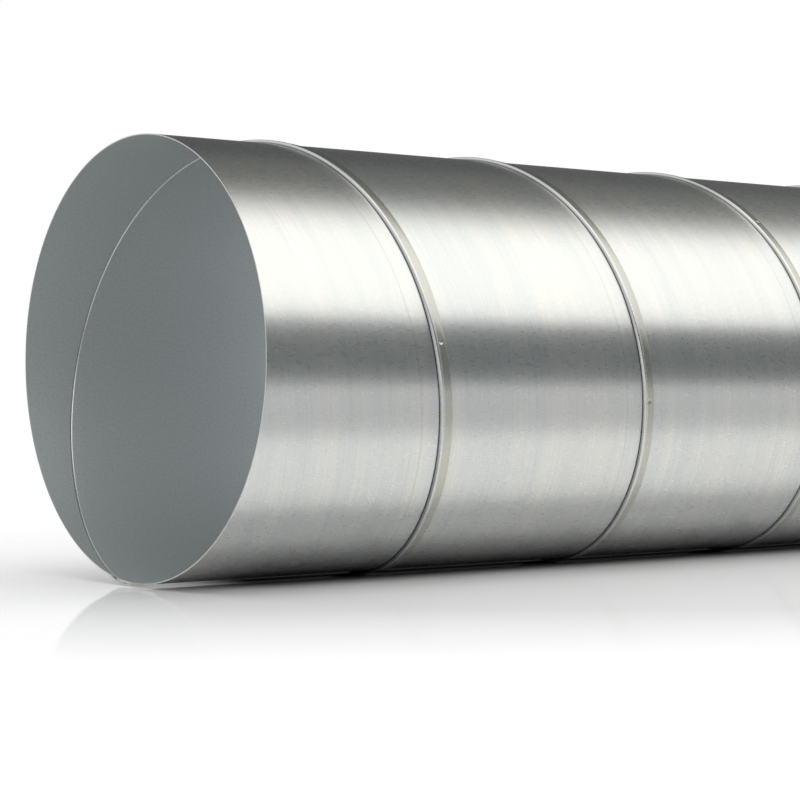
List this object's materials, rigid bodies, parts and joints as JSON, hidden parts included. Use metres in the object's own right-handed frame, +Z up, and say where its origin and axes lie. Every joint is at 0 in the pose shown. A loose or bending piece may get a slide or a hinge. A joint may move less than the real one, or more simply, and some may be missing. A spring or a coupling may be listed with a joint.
{
  "type": "spiral duct section",
  "caption": "Straight round ventilation duct wound from galvanised strip, with one flat lock seam running round it as a right-hand helix and both ends cut square and open.",
  "frame": {"origin": "centre of the near open end, on the duct's axis", "axes": "+X along the axis from the near end to the far end, +Z up as the duct lies, the picture's camera on the -Y side"},
  "size_m": [1, 0.204, 0.204],
  "materials": {
    "galvanised_steel": "bright galvanised sheet with faint rolling streaks"
  },
  "bodies": {
    "root": {"spiral_duct": "galvanised_steel"}
  },
  "joints": []
}
